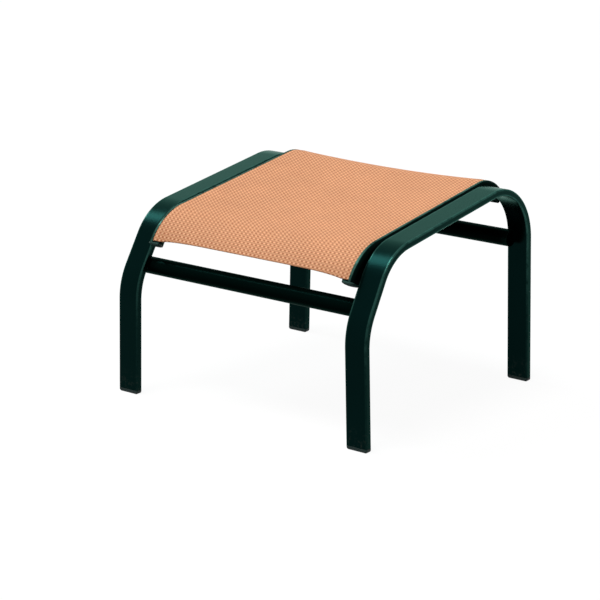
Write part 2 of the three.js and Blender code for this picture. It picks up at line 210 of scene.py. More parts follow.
@dataclass(frozen=True)
class Stance:
    """How the two sides stand: their width at the floor and their lean."""

    floor_width: float = 0.5715
    lean: float = tan(radians(1.5))

    def half_span(self, inset: Array | float, z: Array | float) -> Array:
        """Half the distance between two mirrored points."""
        return self.floor_width / 2 - inset - z * self.lean

    def place(self, side: Side, inset: Array, y: Array, z: Array) -> Array:
        """Points [x, y, z] of a side, from insets and places in its plane."""
        return stacked(side.value * self.half_span(inset, z), y, z)


# Sections


def arc(x: float, y: float, radius: float, start: float, stop: float, steps: int) -> Array:
    """Points [x, y] on a circle, from one angle in degrees to another."""
    angle = np.radians(np.linspace(start, stop, steps + 1))
    return stacked(x + radius * np.cos(angle), y + radius * np.sin(angle))


@dataclass(frozen=True)
class Section:
    """A closed section of [inset, out] points, and how strongly each takes the pale edge mark of
    abrasion and painted highlight, from 0 to 1.
    """

    points: Array
    edge: Array

    @classmethod
    def joined(cls, parts: Iterable[tuple[Array | Sequence[Sequence[float]], float]]) -> "Section":
        """Joins stretches of points.

        Args:
            parts: the stretches, each with its share of the pale edge mark.

        Returns:
            The section.
        """
        pairs = [(np.atleast_2d(np.asarray(points, float)), wear_and_highlight) for points, wear_and_highlight in parts]
        return cls(
            np.concatenate([points for points, _ in pairs]),
            np.concatenate([np.full(len(points), wear_and_highlight) for points, wear_and_highlight in pairs]),
        )


def rounded_box(left: float, right: float, low: float, high: float,
                radius: float, steps: int = 6) -> Section:
    """A rectangle with rounded corners, and a point on each flat a little past each corner,
    so that the pale edge mark, abrasion and a painted highlight, stays near the corners.

    Args:
        left: its least inset.
        right: its largest inset.
        low: how far out its lower side lies.
        high: how far out its upper side lies.
        radius: the radius of its corners.
        steps: the number of straight pieces in a corner.

    Returns:
        The section, with its pale edge mark at its corners.
    """
    past = radius * PALE_EDGE_FLAT_SHARE
    corners = [
        (right - radius, low + radius, -90.0), (right - radius, high - radius, 0.0),
        (left + radius, high - radius, 90.0), (left + radius, low + radius, 180.0),
    ]
    parts: list[tuple[Array, float]] = []
    for x, y, start in corners:
        turn = arc(x, y, radius, start, start + 90, steps)
        first, last = np.radians(start), np.radians(start + 90)
        before = turn[0] - past * np.array([-np.sin(first), np.cos(first)])
        after = turn[-1] + past * np.array([-np.sin(last), np.cos(last)])
        parts += [(before, 0.0), (turn, 1.0), (after, 0.0)]
    return Section.joined(parts)


@dataclass(frozen=True)
class FlatTube:
    """The side frame's tube and its line from the front foot to the rear foot."""

    width: float = 0.0445
    thickness: float = 0.013
    wall: float = 0.0015
    corner: float = 0.002
    top_rise: float = 8.0        # degrees
    front_leg: float = 0.180
    knee: Run = Run.bend(0.120, 31.5)
    shin: float = 0.063
    front_bend: Run = Run.bend(0.109, 50.5)
    top: float = 0.273
    rear_bend: Run = Run.bend(0.108, 98.0)

    def line(self) -> BentPath:
        """The tube's outer line.

        Returns:
            The path, centred between the feet.
        """
        runs = [Run(self.front_leg), self.knee, Run(self.shin), self.front_bend,
                Run(self.top), self.rear_bend]
        upper = BentPath(0.0, runs)
        y, z, _ = upper.at(upper.length)
        return BentPath(0.0, [*runs, Run(float(z))]).pin(0.0, -float(y) / 2, 0.0)

    @property
    def shin_start(self) -> float:
        """Distance from the front foot to the top of the knee."""
        return self.front_leg + self.knee.length

    @property
    def top_start(self) -> float:
        """Distance from the front foot to the straight top."""
        return self.shin_start + self.shin + self.front_bend.length


@dataclass(frozen=True)
class RailForm:
    """The sling rail's section and its line."""

    gap: float = 0.0015          # frame to web
    web: float = 0.0024
    depth: float = 0.025
    plate: float = 0.0018
    edge: float = 0.0070         # radius of the shoulder
    corner: float = 0.0044       # radius inside, between web and plate
    foot_edge: float = 0.0006
    over_frame: float = 0.0011   # rail top over frame top
    lead_front: float = 0.0201
    lead_rear: float = 0.0307
    front_bend: Run = Run.bend(0.109, 53.3)
    rear_bend: Run = Run.bend(0.0725, 65.5)
    groove: float = 0.0127       # frame to groove centre
    groove_radius: float = 0.0026
    groove_wall: float = 0.0012
    groove_lip: float = 0.0015
    slot: float = 0.002
    slot_edge: float = 0.00035
    slot_flat: float = 0.00105   # from the slot to where its edge is flat
    flange_drop: float = 0.0013
    flange: float = 0.0016
    reach: float = 0.0258
    nose: float = 0.0016
    skirt: float = 0.0018
    skirt_tuck: float = 0.0066
    skirt_top_share: float = 0.06     # of the skirt's drop, where its points begin
    skirt_curl_share: float = 0.15    # and where it begins to curl
    skirt_curl_power: float = 1.9
    skirt_short_share: float = 0.03   # of the drop, by which the inner face is shorter
    web_flat_share: float = 1.3       # of the shoulder's radius, where the web is flat
    # How strongly each stretch takes the pale edge colour: abrasion and a painted highlight,
    # strongest on the crest.
    crest_wear: float = 1.0
    shoulder_wear: float = 0.7
    lip_wear: float = 0.6
    foot_wear: float = 0.5
    flange_wear: float = 0.3

    @property
    def groove_depth(self) -> float:
        """Rail top to groove centre."""
        return self.groove_lip + self.groove_radius

    @property
    def nose_drop(self) -> float:
        """Rail top to the centre of the nose."""
        return self.flange_drop + self.nose

    def line(self, tube: FlatTube) -> BentPath:
        """The rail's top line.

        Args:
            tube: the side frame's tube.

        Returns:
            The path, parallel to the tube's straight top.
        """
        start = radians(90 - tube.top_rise) - self.front_bend.turn
        straight = self.lead_front + tube.top + self.lead_rear
        path = BentPath(start, [self.front_bend, Run(straight), self.rear_bend])
        y, z, _ = tube.line().at(tube.top_start, self.over_frame)
        return path.pin(self.front_bend.length + self.lead_front, float(y), float(z))

    def skirt_curve(self) -> tuple[Array, Array, Array]:
        """The skirt curls under. Down to the curl's share of its drop it is straight, and
        past it the skirt lies in from the nose by the tuck times the curl's power of how far
        along the rest a point is.

        Returns:
            shares of the drop, and the tuck and the drop at each.
        """
        share = np.linspace(self.skirt_top_share, 1.0, 14)
        curled = np.clip((share - self.skirt_curl_share) / (1 - self.skirt_curl_share), 0, None)
        tuck = self.skirt_tuck * curled ** self.skirt_curl_power
        return share, tuck, (self.depth - self.flange_drop - self.nose) * share

    def outline(self, tube: FlatTube) -> Array:
        """The outline of a rail without its groove, which the head of a cap repeats.

        Args:
            tube: the side frame's tube.

        Returns:
            [inset, out] points.
        """
        web, nose = tube.width + self.gap, tube.width + self.reach
        _, tuck, drop = self.skirt_curve()
        return np.concatenate([
            arc(web + self.edge, -self.edge, self.edge, 180, 90, 8),
            arc(nose - self.nose, -self.nose_drop, self.nose, 90, 0, 5),
            stacked(nose - tuck, -self.nose_drop - drop),
            arc(web + self.foot_edge, self.foot_edge - self.depth, self.foot_edge, 270, 180, 3),
        ])

    def section(self, tube: FlatTube) -> Section:
        """Web, plate, groove with its slot, flange, nose and curled skirt.

        Args:
            tube: the side frame's tube.

        Returns:
            The section, its pale edge mark strongest on its crest beside the slot: abrasion and a
            painted highlight.
        """
        web, nose = tube.width + self.gap, tube.width + self.reach
        inner = web + self.web
        centre, depth = tube.width + self.groove, self.groove_depth
        boss = self.groove_radius + self.groove_wall
        under = self.flange_drop + self.flange
        left, right = centre - self.slot / 2, centre + self.slot / 2
        half_slot = np.degrees(np.arcsin(self.slot / 2 / self.groove_radius))
        start = np.degrees(np.arcsin((depth - under) / boss))
        stop = -180 - np.degrees(np.arcsin((depth - self.plate) / boss))
        share, tuck, drop = self.skirt_curve()
        inner_drop = drop * (1 - self.skirt_short_share * share)
        shoulder = arc(web + self.edge, -self.edge, self.edge, 180, 90, 10)
        edge, corner, foot = self.slot_edge, self.corner, self.foot_edge - self.depth
        return Section.joined([
            ([[web, -self.web_flat_share * self.edge]], 0.0),
            (shoulder[:-2], 0.0),
            (shoulder[-2:], self.shoulder_wear),
            ([[left - self.slot_flat, 0.0]], self.crest_wear),
            (arc(left - edge, -edge, edge, 90, 0, 3), self.lip_wear),
            (arc(centre, -depth, self.groove_radius, 90 + half_slot, 450 - half_slot, 22), 0.0),
            (arc(right + edge, -self.flange_drop - edge, edge, 180, 90, 3), self.flange_wear),
            ([[right + self.slot_flat, -self.flange_drop]], 0.0),
            (arc(nose - self.nose, -self.nose_drop, self.nose, 90, 0, 6), self.lip_wear),
            (stacked(nose - tuck, -self.nose_drop - drop), 0.0),
            (stacked(nose - self.skirt - tuck, -self.nose_drop - inner_drop)[::-1], 0.0),
            ([[nose - self.skirt, -under]], 0.0),
            (arc(centre, -depth, boss, start, stop, 20), 0.0),
            (arc(inner + corner, -self.plate - corner, corner, 90, 180, 5), 0.0),
            ([[inner, foot]], 0.0),
            ([[inner - self.foot_edge, -self.depth], [web + self.foot_edge, -self.depth]],
             self.foot_wear),
            ([[web, foot]], 0.0),
        ])


# Meshes


@dataclass(frozen=True)
class Look:
    """A finished material, and the record's slot that it goes with."""

    slot: Slot
    material: bpy.types.Material


def put_mesh(name: str, points: Array, faces: list[Sequence[int]],
             sharp: float = SMOOTH_TURN) -> bpy.types.Object:
    """Makes a smooth-shaded object at the origin, with its place in its mesh.

    Args:
        name: the piece's name.
        points: vertices, one row each.
        faces: vertex numbers of each face.
        sharp: edges that turn by more degrees than this stay sharp.

    Returns:
        The object, linked to the scene.
    """
    mesh = bpy.data.meshes.new(name)
    mesh.from_pydata(points.tolist(), [], faces)
    mesh.validate()
    mesh.shade_smooth()
    mesh.set_sharp_from_angle(angle=radians(sharp))
    piece = bpy.data.objects.new(name, mesh)
    bpy.context.scene.collection.objects.link(piece)
    return piece


def claim(piece: bpy.types.Object, look: Look, nodes: Sequence[str] = ()) -> None:
    """Gives a new piece its material, its body and the solids that it stands for.

    Args:
        piece: the piece.
        look: its material and slot.
        nodes: the names of those solids.
    """
    piece.data.materials.append(look.material)
    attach(piece, BODY)
    if nodes:
        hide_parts(*nodes)
    stood_for = ", ".join(nodes) or "no solid"
    LOG.info("%s: %d faces, for %s", piece.name, len(piece.data.polygons), stood_for)


def keep_node(node: bpy.types.Object, material: bpy.types.Material) -> None:
    """Gives a solid that stays its finish.

    Args:
        node: the solid.
        material: the finish.
    """
    node.data.materials.clear()
    node.data.materials.append(material)
    LOG.info("%s: kept, in %s", node.name, material.name)


def grid_faces(rows: int, columns: int, wrap_rows: bool, wrap_columns: bool) -> Array:
    """The faces of a grid of points, which may close on itself both ways.

    Args:
        rows: the number of rows.
        columns: the number of columns.
        wrap_rows: the last row joins the first.
        wrap_columns: the last column joins the first.

    Returns:
        Four vertex numbers for each face.
    """
    i = np.arange(rows if wrap_rows else rows - 1)[:, None]
    j = np.arange(columns if wrap_columns else columns - 1)[None, :]
    i2, j2 = (i + 1) % rows, (j + 1) % columns
    corners = stacked(i * columns + j, i * columns + j2, i2 * columns + j2, i2 * columns + j)
    return corners.reshape(-1, 4)


def skin(name: str, grid: Array, look: Look, nodes: Sequence[str] = (), *,
         wrap_rows: bool = False, wrap_columns: bool = True, caps: bool = False,
         edge: Array | None = None, uv: Array | None = None,
         sharp: float = SMOOTH_TURN) -> bpy.types.Object:
    """One piece from a grid of points, or from many like grids, with its faces turned outward.

    The enclosed volume is a sixth of the sum of a . (b x c) over the triangles, and its sign
    says which way the faces look. An open sheet looks up.

    Args:
        name: the piece's name.
        grid: points, as rows by columns by 3, or several such grids.
        look: its material and slot.
        nodes: the solids that it stands for.
        wrap_rows: the last row joins the first.
        wrap_columns: the last column joins the first.
        caps: the first and last rows are closed by a face each.
        edge: how strongly each point takes the pale edge mark, abrasion and a painted highlight,
            kept as the attribute "edge".
        uv: the place of each point in the flat, kept as a UV map in metres.
        sharp: edges that turn by more degrees than this stay sharp.

    Returns:
        The object.
    """
    rows, columns = grid.shape[-3:-1]
    size = rows * columns
    grids = grid.reshape(-1, size, 3)
    quads = grid_faces(rows, columns, wrap_rows, wrap_columns)
    a, b, c, d = (grids[0, quads[:, k]] for k in range(4))
    normals = np.cross(c - a, d - b)
    closed = caps or (wrap_rows and wrap_columns)
    centre = grids[0].mean(axis=0)
    facing = ((a - centre) * normals).sum() if closed else normals[:, 2].sum()
    ends = [range(columns - 1, -1, -1), range(size - columns, size)] if caps else []
    if facing < 0:
        quads = quads[:, ::-1]
        ends = [end[::-1] for end in ends]
    starts = np.arange(len(grids)) * size
    faces = (starts[:, None, None] + quads).reshape(-1, 4).tolist()
    faces += [[start + k for k in end] for start in starts.tolist() for end in ends]
    piece = put_mesh(name, grids.reshape(-1, 3), faces, sharp)
    if edge is not None:
        wear_and_highlight = piece.data.attributes.new("edge", "FLOAT", "POINT")
        wear_and_highlight.data.foreach_set("value", np.broadcast_to(edge, (rows, columns)).ravel())
    if uv is not None:
        loops = np.empty(len(piece.data.loops), int)
        piece.data.loops.foreach_get("vertex_index", loops)
        layer = piece.data.uv_layers.new(name="flat")
        layer.data.foreach_set("uv", uv.reshape(-1, 2)[loops].ravel())
    claim(piece, look, nodes)
    return piece


def carried(path: BentPath, marks: Array, section: Array) -> tuple[Array, Array, Array]:
    """Carries a section along a path.

    Args:
        path: the path.
        marks: the distances along it, one for each ring.
        section: [inset, out] points.

    Returns:
        insets, y and z, each as marks by section points.
    """
    y, z, _ = path.at(marks[:, None], section[None, :, 1])
    return np.broadcast_to(section[None, :, 0], y.shape), y, z


# Shader maths


class Wire:
    """An output socket that can be used in sums, as a number can."""

    def __init__(self, tree: "Tree", socket: bpy.types.NodeSocket) -> None:
        """Keeps the socket and the tree that it is in."""
        self.tree = tree
        self.socket = socket

    def _math(self, operation: str, *values: "Wire | Number") -> "Wire":
        """A Math node of that operation on the values, in order."""
        return self.tree.wire("ShaderNodeMath", {"operation": operation}, dict(enumerate(values)))

    def __add__(self, other: "Wire | Number") -> "Wire":
        """Sum."""
        return self._math("ADD", self, other)

    def __mul__(self, other: "Wire | Number") -> "Wire":
        """Product."""
        return self._math("MULTIPLY", self, other)

    def __sub__(self, other: "Wire | Number") -> "Wire":
        """Difference."""
        return self._math("SUBTRACT", self, other)

    def __rsub__(self, other: Number) -> "Wire":
        """Difference from a number."""
        return self._math("SUBTRACT", other, self)

    def __truediv__(self, other: "Wire | Number") -> "Wire":
        """Quotient."""
        return self._math("DIVIDE", self, other)

    def __rtruediv__(self, other: Number) -> "Wire":
        """Quotient of a number."""
        return self._math("DIVIDE", other, self)

    def __pow__(self, other: "Wire | Number") -> "Wire":
        """Power."""
        return self._math("POWER", self, other)

    def __rpow__(self, other: Number) -> "Wire":
        """Power of a number."""
        return self._math("POWER", other, self)

    __radd__ = __add__
    __rmul__ = __mul__

    def floor(self) -> "Wire":
        """The whole number below."""
        return self._math("FLOOR", self)

    def part(self) -> "Wire":
        """What is over the whole number below."""
        return self._math("FRACT", self)

    def size(self) -> "Wire":
        """The value without its sign."""
        return self._math("ABSOLUTE", self)

    def most(self, other: "Wire | Number") -> "Wire":
        """The larger of two."""
        return self._math("MAXIMUM", self, other)

    def ramp(self, low: Number, high: Number) -> "Wire":
        """Smoothly 0 below low and 1 above high."""
        return self.tree.wire(
            "ShaderNodeMapRange", {"interpolation_type": "SMOOTHSTEP"},
            {"Value": self, "From Min": low, "From Max": high})


class Tree:
    """The nodes of a material or of the world."""

    def __init__(self, owner: bpy.types.Material | bpy.types.World) -> None:
        """Starts with no nodes.

        Args:
            owner: the material or the world.
        """
        owner.use_nodes = True
        self.links = owner.node_tree.links
        self.nodes = owner.node_tree.nodes
        self.nodes.clear()

    def feed(self, node: bpy.types.Node, values: dict[str | int, Any]) -> None:
        """Links a node's inputs to wires, and sets them to numbers and colours.

        Args:
            node: the node.
            values: a wire, number, vector or colour for each input, by name or number.
        """
        for key, value in values.items():
            socket = node.inputs[key]
            if isinstance(value, Wire):
                self.links.new(value.socket, socket)
            elif socket.type == "RGBA":
                socket.default_value = (*value, 1.0)
            else:
                socket.default_value = value

    def node(self, kind: str, settings: dict[str, Any] | None = None,
             values: dict[str | int, Any] | None = None) -> bpy.types.Node:
        """Adds a node, sets what it is first, and then its sockets.

        Args:
            kind: the node's type.
            settings: its own settings, such as an operation.
            values: a wire, number, vector or colour for each input, by name or number.

        Returns:
            The node.
        """
        made = self.nodes.new(kind)
        for key, value in (settings or {}).items():
            setattr(made, key, value)
        self.feed(made, values or {})
        return made

    def wire(self, kind: str, settings: dict[str, Any] | None = None,
             values: dict[str | int, Any] | None = None, output: str | int = 0) -> Wire:
        """One output of a new node."""
        return Wire(self, self.node(kind, settings, values).outputs[output])

    def seen(self) -> Wire:
        """Tells what the camera sees, also in a reflection or through glass.

        Returns:
            1 for what it sees, and 0 for the light on the object.
        """
        rays = self.node("ShaderNodeLightPath").outputs
        direct, glossy, through = (
            Wire(self, rays[f"Is {kind} Ray"]) for kind in ("Camera", "Glossy", "Transmission"))
        return direct.most(glossy).most(through)


class Surface(Tree):
    """A material that is built node by node around one Principled shader."""

    def __init__(self, name: str) -> None:
        """Starts a material with its shader.

        Args:
            name: the material's name.
        """
        self.material = bpy.data.materials.new(name)
        super().__init__(self.material)
        shader = self.wire("ShaderNodeBsdfPrincipled")
        self.shader = shader.socket.node
        self.node("ShaderNodeOutputMaterial", values={"Surface": shader})

    def finish(self, **sockets: Any) -> bpy.types.Material:
        """Sets the shader's sockets.

        Args:
            sockets: what each gets, by its name with underscores for spaces.

        Returns:
            The finished material.
        """
        self.feed(self.shader, {key.replace("_", " "): value for key, value in sockets.items()})
        return self.material

    def places(self) -> Wire:
        """The place on the object, in metres."""
        return self.wire("ShaderNodeTexCoord", output="Object")

    def axis(self, vector: Wire, name: str) -> Wire:
        """One axis of a vector."""
        return self.wire("ShaderNodeSeparateXYZ", values={0: vector}, output=name)

    def noise(self, vector: Wire, scale: float, detail: float = 3.0, rough: float = 0.55) -> Wire:
        """Fractal noise from 0 to 1, with about scale swells in a metre."""
        return self.wire("ShaderNodeTexNoise", {"noise_dimensions": "3D"},
                         {"Vector": vector, "Scale": scale, "Detail": detail, "Roughness": rough})

    def stretched(self, vector: Wire, scale: tuple[float, float, float]) -> Wire:
        """A vector with each axis scaled."""
        return self.wire("ShaderNodeMapping", values={"Vector": vector, "Scale": scale})

    def edge(self) -> Wire:
        """The pale edge mark, abrasion and a painted highlight, that a mesh holds at its corners.
        """
        return self.wire("ShaderNodeAttribute", {"attribute_name": "edge"}, output="Fac")

    def blend(self, share: Wire | Number, first: Wire | Colour, second: Wire | Colour,
              way: str = "MIX") -> Wire:
        """A colour between two, or their blend in another of the Mix node's ways."""
        return self.wire("ShaderNodeMix", {"data_type": "RGBA", "blend_type": way},
                         {"Factor": share, 6: first, 7: second}, output=2)

    def tinted(self, colour: Wire | Colour, shade: Wire) -> Wire:
        """A colour made lighter or darker by a factor."""
        grey = self.wire("ShaderNodeCombineColor", values={0: shade, 1: shade, 2: shade})
        return self.blend(1.0, colour, grey, "MULTIPLY")

    def bump(self, height: Wire, depth: float, strength: float = 1.0) -> Wire:
        """A normal from a height that stands depth metres tall at 1."""
        return self.wire("ShaderNodeBump",
                         values={"Height": height, "Distance": depth, "Strength": strength})


# Finishes


@dataclass(frozen=True)
class PowderCoat:
    """Black green powder coat with a little metal flake: nearly black where it is looked
    into, and green in a low sheen. It has fine orange peel, a little mottling, and dust and
    scuffs close to the floor. Its edges are smoother and paler, most of all near the seat;
    the paleness is partly abrasion and partly a painted highlight."""

    name: str = "green_powder_coat"
    colour: Colour = (0.0011, 0.0088, 0.0082)
    worn: Colour = (0.030, 0.100, 0.083)
    dust: Colour = (0.120, 0.125, 0.105)
    roughness: float = 0.25
    peel: float = 0.000035
    flake: float = 0.68
    tint: Colour = (0.66, 1.0, 0.89)
    dust_thick: float = 0.004    # height up to which dust is thickest
    dust_top: float = 0.055      # and where it ends
    dust_share: float = 0.14
    pale_edge_low: float = 0.10        # height from which edges grow paler: abrasion and a painted highlight
    pale_edge_high: float = 0.34       # and where they are palest
    pale_edge_least: float = 0.12
    pale_edge_share: float = 0.8

    def material(self) -> bpy.types.Material:
        """Builds the finish.

        Returns:
            The material.
        """
        tree = Surface(self.name)
        place = tree.places()
        height = tree.axis(place, "Z")
        mottle = tree.noise(place, 9.0)
        grain = tree.noise(place, 520.0, 2.0)
        speck = tree.noise(place, 160.0, 4.0, 0.7)
        patch = tree.noise(place, 60.0, 4.0, 0.7)
        low = 1 - height.ramp(self.dust_thick, self.dust_top)
        dust = low * speck.ramp(0.50, 0.72) * self.dust_share
        pale_edge_by_height = height.ramp(self.pale_edge_low, self.pale_edge_high) * (1 - self.pale_edge_least) + self.pale_edge_least
        # Pale edge mask: abrasion, and a painted highlight along the edges, stronger higher up.
        wear_and_highlight = tree.edge() * patch.ramp(0.20, 0.60) * pale_edge_by_height * self.pale_edge_share
        shade = tree.tinted(self.colour, 0.86 + mottle * 0.28)
        rough = self.roughness + (mottle - 0.5) * 0.10 + (speck - 0.5) * 0.06
        return tree.finish(
            Base_Color=tree.blend(dust, tree.blend(wear_and_highlight, shade, self.worn), self.dust),
            Metallic=self.flake * (1 - dust),
            Roughness=rough - wear_and_highlight * 0.12 + dust * 0.5,
            Specular_IOR_Level=0.0,
            Specular_Tint=self.tint,
            Normal=tree.bump(grain + speck * 0.6, self.peel))


@dataclass(frozen=True)
class MouldedPlastic:
    """Moulded plastic with a fine grain, polished by handling and scuffed underneath."""

    name: str
    colour: Colour
    scuff: Colour
    scuff_top: float = 0.0016    # height where the scuffs end
    scuff_share: float = 0.7
    relief: float = 0.00004
    roughness: float = 0.55

    def material(self) -> bpy.types.Material:
        """Builds the finish.

        Returns:
            The material.
        """
        tree = Surface(self.name)
        place = tree.places()
        grain = tree.noise(place, 900.0, 2.0)
        smear = tree.noise(tree.stretched(place, (1.0, 0.25, 1.0)), 240.0, 5.0, 0.7)
        scuffed = (1 - tree.axis(place, "Z").ramp(0.0, self.scuff_top)) * smear.ramp(0.42, 0.62)
        shade = tree.tinted(self.colour, 0.85 + smear * 0.3)
        return tree.finish(
            Base_Color=tree.blend(scuffed * self.scuff_share, shade, self.scuff),
            Roughness=self.roughness + (smear - 0.5) * 0.2 + scuffed * 0.15,
            Specular_IOR_Level=0.25,
            Normal=tree.bump(grain + smear * 0.5, self.relief))


@dataclass(frozen=True)
class WovenMesh:
    """Basket weave of coated yarn. Groups of three strands pass over and under each other in
    oblong cells. The strands that run front to back are pale in one column and a shade
    deeper in the next, and those across are darker."""

    name: str = "woven_sling_mesh"
    cell_across: float = 0.00463
    cell_along: float = 0.00357
    strands: float = 3.0
    pale: Colour = (0.85, 0.465, 0.260)
    middling: Colour = (0.69, 0.335, 0.174)
    deep: Colour = (0.59, 0.255, 0.124)
    dark: Colour = (0.45, 0.147, 0.060)
    # Painted shade: the colour between the strands and where they dip under.
    gap: Colour = (0.32, 0.089, 0.034)
    depth: float = 0.00022
    dip_share: float = 0.75      # of its height that a strand loses at the ends of a cell

    def material(self) -> bpy.types.Material:
        """Builds the finish.

        A strand's height is 1 - (2t)^2 across it, with t from -1/2 to 1/2, and it falls
        toward both ends of its cell, where it goes under. Where the height is low, between the
        strands and where they go under, the colour falls to the gap colour: painted shade.

        Returns:
            The material.
        """
        tree = Surface(self.name)
        flat = tree.wire("ShaderNodeUVMap", {"uv_map": "flat"})
        across = tree.axis(flat, "X") / self.cell_across
        along = tree.axis(flat, "Y") / self.cell_along
        over = ((across.floor() + along.floor()) / 2).part() * 2
        column = (across.floor() / 2).part() * 2

        def strand(count: Wire) -> Wire:
            """The round of each strand in a cell."""
            return 1 - ((count * self.strands).part() * 2 - 1) ** 2.0

        def bow(count: Wire) -> Wire:
            """The rise and fall of strands from one end of a cell to the other."""
            return 1 - (count.part() * 2 - 1).size() ** 3.0 * self.dip_share

        height = strand(across) * bow(along) * over + strand(along) * bow(across) * (1 - over)
        place = tree.places()
        fade = tree.noise(place, 14.0, 3.0)
        fibre = tree.noise(place, 1400.0, 2.0)
        yarn = tree.blend(over, tree.blend(column, self.deep, self.dark),
                          tree.blend(column, self.pale, self.middling))
        tone = tree.tinted(yarn, 0.92 + fade * 0.20 + (fibre - 0.5) * 0.10)
        # The colour falls to the gap colour where strand height is low: painted shade between and
        # under the strands.
        return tree.finish(
            Base_Color=tree.blend(height.ramp(0.0, 0.28), self.gap, tone),
            Roughness=0.88 - height * 0.22,
            Specular_IOR_Level=0.3,
            Normal=tree.bump(height + fibre * 0.12, self.depth, 0.8))


@dataclass(frozen=True)
class Thread:
    """Bonded sewing thread, a shade paler than the cloth, with its twist."""

    name: str = "sewing_thread"
    colour: Colour = (0.80, 0.42, 0.25)
    relief: float = 0.00008

    def material(self) -> bpy.types.Material:
        """Builds the finish.

        Returns:
            The material.
        """
        tree = Surface(self.name)
        twist = tree.wire("ShaderNodeTexWave", {"bands_direction": "DIAGONAL"},
                          {"Vector": tree.places(), "Scale": 900.0, "Distortion": 0.5},
                          output="Fac")
        return tree.finish(
            Base_Color=tree.tinted(self.colour, 0.75 + twist * 0.35),
            Roughness=0.7 - twist * 0.1,
            Normal=tree.bump(twist, self.relief))


@dataclass(frozen=True)
class ZincPlate:
    """Zinc plating: bright and slightly clouded, with fine scratches."""

    name: str
    colour: Colour
    roughness: float = 0.32
    relief: float = 0.00003

    def material(self) -> bpy.types.Material:
        """Builds the finish.

        Returns:
            The material.
        """
        tree = Surface(self.name)
        place = tree.places()
        cloud = tree.noise(place, 300.0, 4.0)
        scratch = tree.noise(tree.stretched(place, (1.0, 8.0, 1.0)), 900.0, 3.0)
        return tree.finish(
            Base_Color=tree.tinted(self.colour, 0.8 + cloud * 0.3),
            Metallic=1.0,
            Roughness=self.roughness + (cloud - 0.5) * 0.25 + scratch * 0.06,
            Normal=tree.bump(scratch, self.relief))


class Finishes:
    """The looks of new pieces, and the materials of kept solids, each made once."""

    def __init__(self) -> None:
        """Makes the materials."""
        # The bars and rails are coated like the frames but take a darker copy of the green paint
        # with less flake: painted shade. The rails' pale edge colour paints a highlight along
        # their crest as well as abrasion.
        black = (0.0006, 0.0045, 0.0038)
        flake = 0.13
        dark = PowderCoat("dark_powder_coat", black, (0.008, 0.036, 0.030), flake=flake)
        rail = PowderCoat("rail_powder_coat", black, (0.070, 0.180, 0.145), flake=flake)
        weld = PowderCoat("coated_weld_bead", roughness=0.42, peel=0.00006)
        foot = MouldedPlastic("moulded_foot", (0.004, 0.018, 0.016), (0.10, 0.10, 0.09))
        cap = MouldedPlastic("moulded_cap", (0.012, 0.050, 0.042), (0.07, 0.11, 0.095))
        spline = MouldedPlastic("spline_rod", (0.62, 0.60, 0.54), (0.5, 0.48, 0.42), roughness=0.4)
        bolt = ZincPlate("zinc_bolt", (0.58, 0.59, 0.60))
        nut = ZincPlate("yellow_zinc_nut", (0.60, 0.55, 0.38), 0.36)
        self.paint = Look(Slot.PAINT, PowderCoat().material())
        self.dark = Look(Slot.PAINT, dark.material())
        self.rail = Look(Slot.PAINT, rail.material())
        self.weld = Look(Slot.WELD, weld.material())
        self.foot = Look(Slot.FOOT, foot.material())
        self.cap = Look(Slot.CAP, cap.material())
        self.cloth = Look(Slot.CLOTH, WovenMesh().material())
        self.thread = Look(Slot.CLOTH, Thread().material())
        self.bolt = Look(Slot.BOLT, bolt.material())
        self.spline = spline.material()
        self.nut = nut.material()


# Sub-assemblies


@dataclass
class Assembly:
    """What every sub-assembly is built from."""

    stance: Stance
    tube: FlatTube
    finishes: Finishes


@dataclass
class SideFrames(Assembly):
    """The two bent flat tubes that make the legs and carry the rails."""

    foot: float = 0.0073         # floor to the tube's end
    turn: float = 1.6            # degrees between rings
    step: float = 0.03

    def build(self) -> None:
        """Makes both tubes: the outer skin up to the rear foot, then the bore back again."""
        tube, wall = self.tube, self.tube.wall
        path = tube.line()
        marks = path.marks(self.turn, self.step, self.foot, path.length - self.foot)
        outer = rounded_box(0.0, tube.width, -tube.thickness, 0.0, tube.corner)
        bore = rounded_box(wall, tube.width - wall, wall - tube.thickness, -wall,
                           tube.corner - wall)
        skins = [carried(path, marks, outer.points), carried(path, marks[::-1], bore.points)]
        inset, y, z = (np.concatenate(parts) for parts in zip(*skins))
        bore_unmarked = np.zeros((len(marks), len(bore.edge)))
        edge = np.concatenate([np.tile(outer.edge, (len(marks), 1)), bore_unmarked])
        for side in Side:
            skin(f"frame_tube_{side.label}", self.stance.place(side, inset, y, z),
                 self.finishes.paint, [f"side_frame_{side.label}"], wrap_rows=True, edge=edge)


